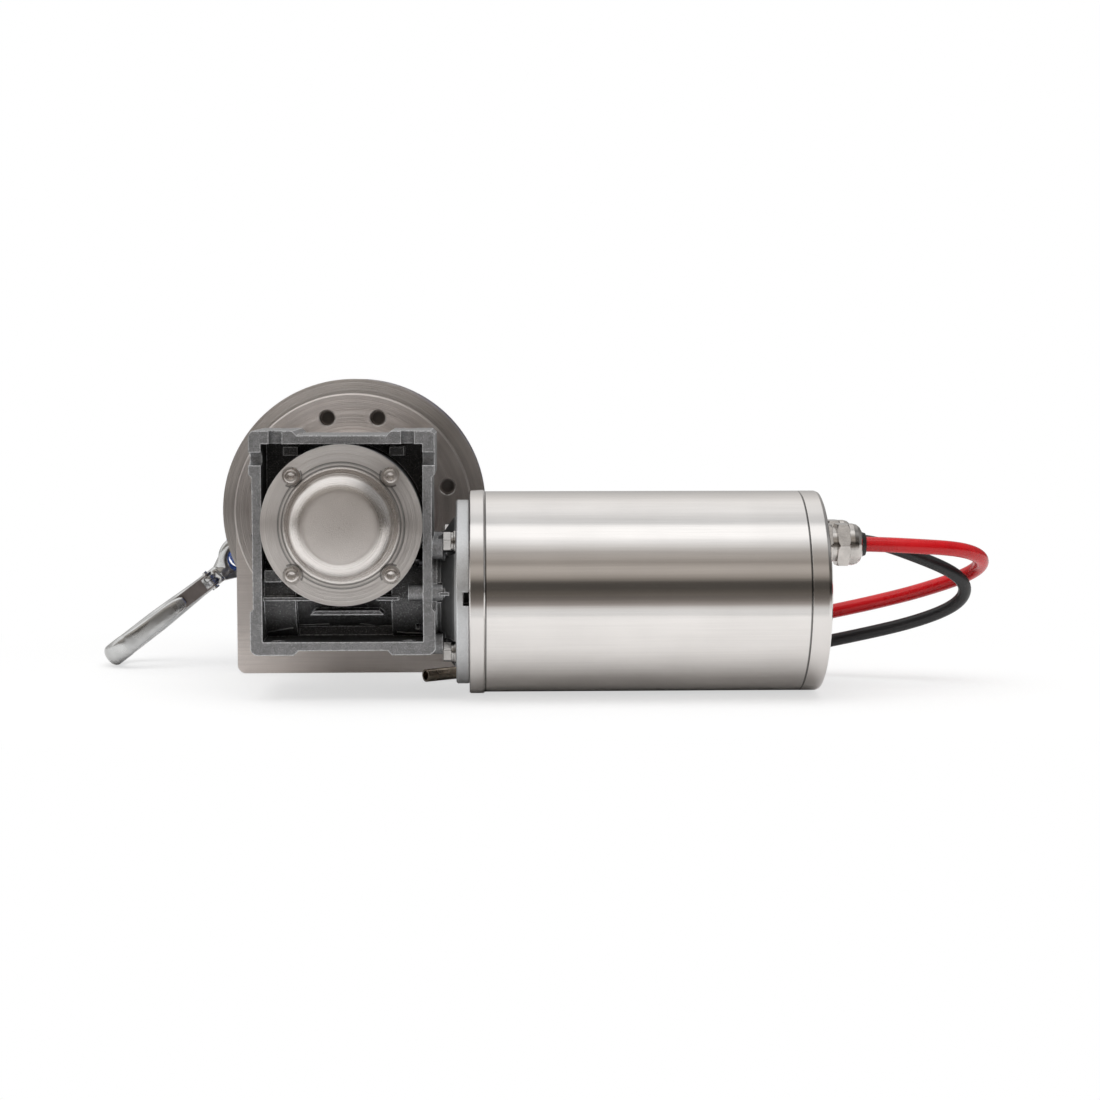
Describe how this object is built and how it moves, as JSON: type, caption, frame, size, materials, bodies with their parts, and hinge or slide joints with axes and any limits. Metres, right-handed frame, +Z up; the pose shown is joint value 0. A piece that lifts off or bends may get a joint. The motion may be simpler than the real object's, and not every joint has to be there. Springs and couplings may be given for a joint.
{
  "type": "pot hauler",
  "caption": "Electric drum hauler: worm gearbox, tube motor, stainless frame with rope drum, blue rope, thimble and snap hook, red and black leads.",
  "frame": {"origin": "middle of the base plate's four bolt holes, on the underside of the base plate", "axes": "+X along the motor, away from the gearbox; +Y along the drum shaft, away from the gearbox; +Z up"},
  "size_m": [0.5217, 0.2415, 0.1753],
  "materials": {
    "stainless_plate": "brushed stainless, warm grey",
    "stainless_turned": "turned stainless, fine concentric marks",
    "stainless_tube": "drawn stainless tube, soft horizontal bands",
    "cast_aluminium": "die cast, blasted, matt grey",
    "bright_steel": "machined steel",
    "dark_steel": "black oxide or blued steel",
    "zinc_plated": "bright zinc plate over forged steel",
    "nickel_plated": "nickel plated brass",
    "bronze": "phosphor bronze",
    "copper": "copper winding",
    "tinned_copper": "tinned copper, worn",
    "magnet": "ferrite",
    "carbon": "carbon and moulded phenolic",
    "seal_rubber": "black rubber",
    "red_insulation": "glossy red lead",
    "black_insulation": "matt black lead",
    "blue_rope": "braided polyester rope"
  },
  "bodies": {
    "frame": {"base_plate": "stainless_plate", "side_plate_near": "stainless_plate", "side_plate_far": "stainless_plate", "corner_welds": "stainless_plate", "gearbox_housing": "cast_aluminium", "bearing_cover": "cast_aluminium", "output_bearing_outers": "bright_steel", "output_seals": "seal_rubber", "worm_bearing_outers": "bright_steel", "input_seal": "seal_rubber", "worm_end_cap": "seal_rubber", "shaft_end_cover": "stainless_turned", "cover_screws": "nickel_plated", "output_flange": "stainless_turned", "flange_gear_screws": "dark_steel", "flange_plate_screws": "bright_steel", "motor_adaptor": "cast_aluminium", "adaptor_screws": "dark_steel", "adaptor_bolts": "nickel_plated", "motor_bracket": "stainless_turned", "motor_tube": "stainless_tube", "motor_end_cap": "stainless_turned", "motor_magnets": "magnet", "motor_bearing_outers": "bright_steel", "motor_brushes": "carbon", "gland_bodies": "nickel_plated", "gland_nuts": "nickel_plated", "gland_seals": "seal_rubber", "red_lead": "red_insulation", "black_lead": "black_insulation", "lead_ferrules": "tinned_copper", "far_bearing_housing": "stainless_turned", "far_bearing_outer": "bright_steel", "housing_screws": "nickel_plated", "rope_tail": "blue_rope", "rope_eye": "blue_rope", "rope_thimble": "zinc_plated"},
    "drum": {"drum_barrel": "stainless_plate", "drum_flange_near": "stainless_turned", "drum_flange_far": "stainless_turned", "drum_shaft": "bright_steel", "shaft_keys": "bright_steel", "output_shaft": "bright_steel", "worm_wheel": "bronze", "output_bearing_inners": "bright_steel", "far_bearing_inner": "bright_steel", "shaft_circlip": "dark_steel", "shaft_end_washer": "bright_steel", "rope_coil": "blue_rope"},
    "rotor": {"worm_shaft": "bright_steel", "worm_bearing_inners": "bright_steel", "motor_shaft": "bright_steel", "armature": "copper", "motor_bearing_inners": "bright_steel"},
    "hook": {"hook_eye": "zinc_plated", "snap_hook": "zinc_plated", "latch_pin": "zinc_plated", "latch_spring": "bright_steel"},
    "latch": {"hook_latch": "bright_steel"}
  },
  "joints": [
    {"name": "drum_spin", "type": "hinge", "parent": "frame", "child": "drum", "pos_m": [0, 0, 0.09675], "axis": [0, 1, 0], "continuous": true},
    {"name": "rotor_spin", "type": "hinge", "parent": "frame", "child": "rotor", "pos_m": [0, -0.1205, 0.05675], "axis": [1, 0, 0], "continuous": true},
    {"name": "hook_swing", "type": "hinge", "parent": "frame", "child": "hook", "pos_m": [-0.0681, 0, 0.0738], "axis": [0.5878, 0.809, 0], "range_deg": [0, 45]},
    {"name": "latch_swing", "type": "hinge", "parent": "hook", "child": "latch", "pos_m": [-0.08994, -0.0065, 0.05259], "axis": [0.6091, 0, -0.7931], "range_deg": [0, 35], "stiffness_Nm_per_rad": 0.05, "springref_deg": -17.19}
  ],
  "couplings": [
    {"joint": "rotor_spin", "follows": "drum_spin", "ratio": 30}
  ]
}
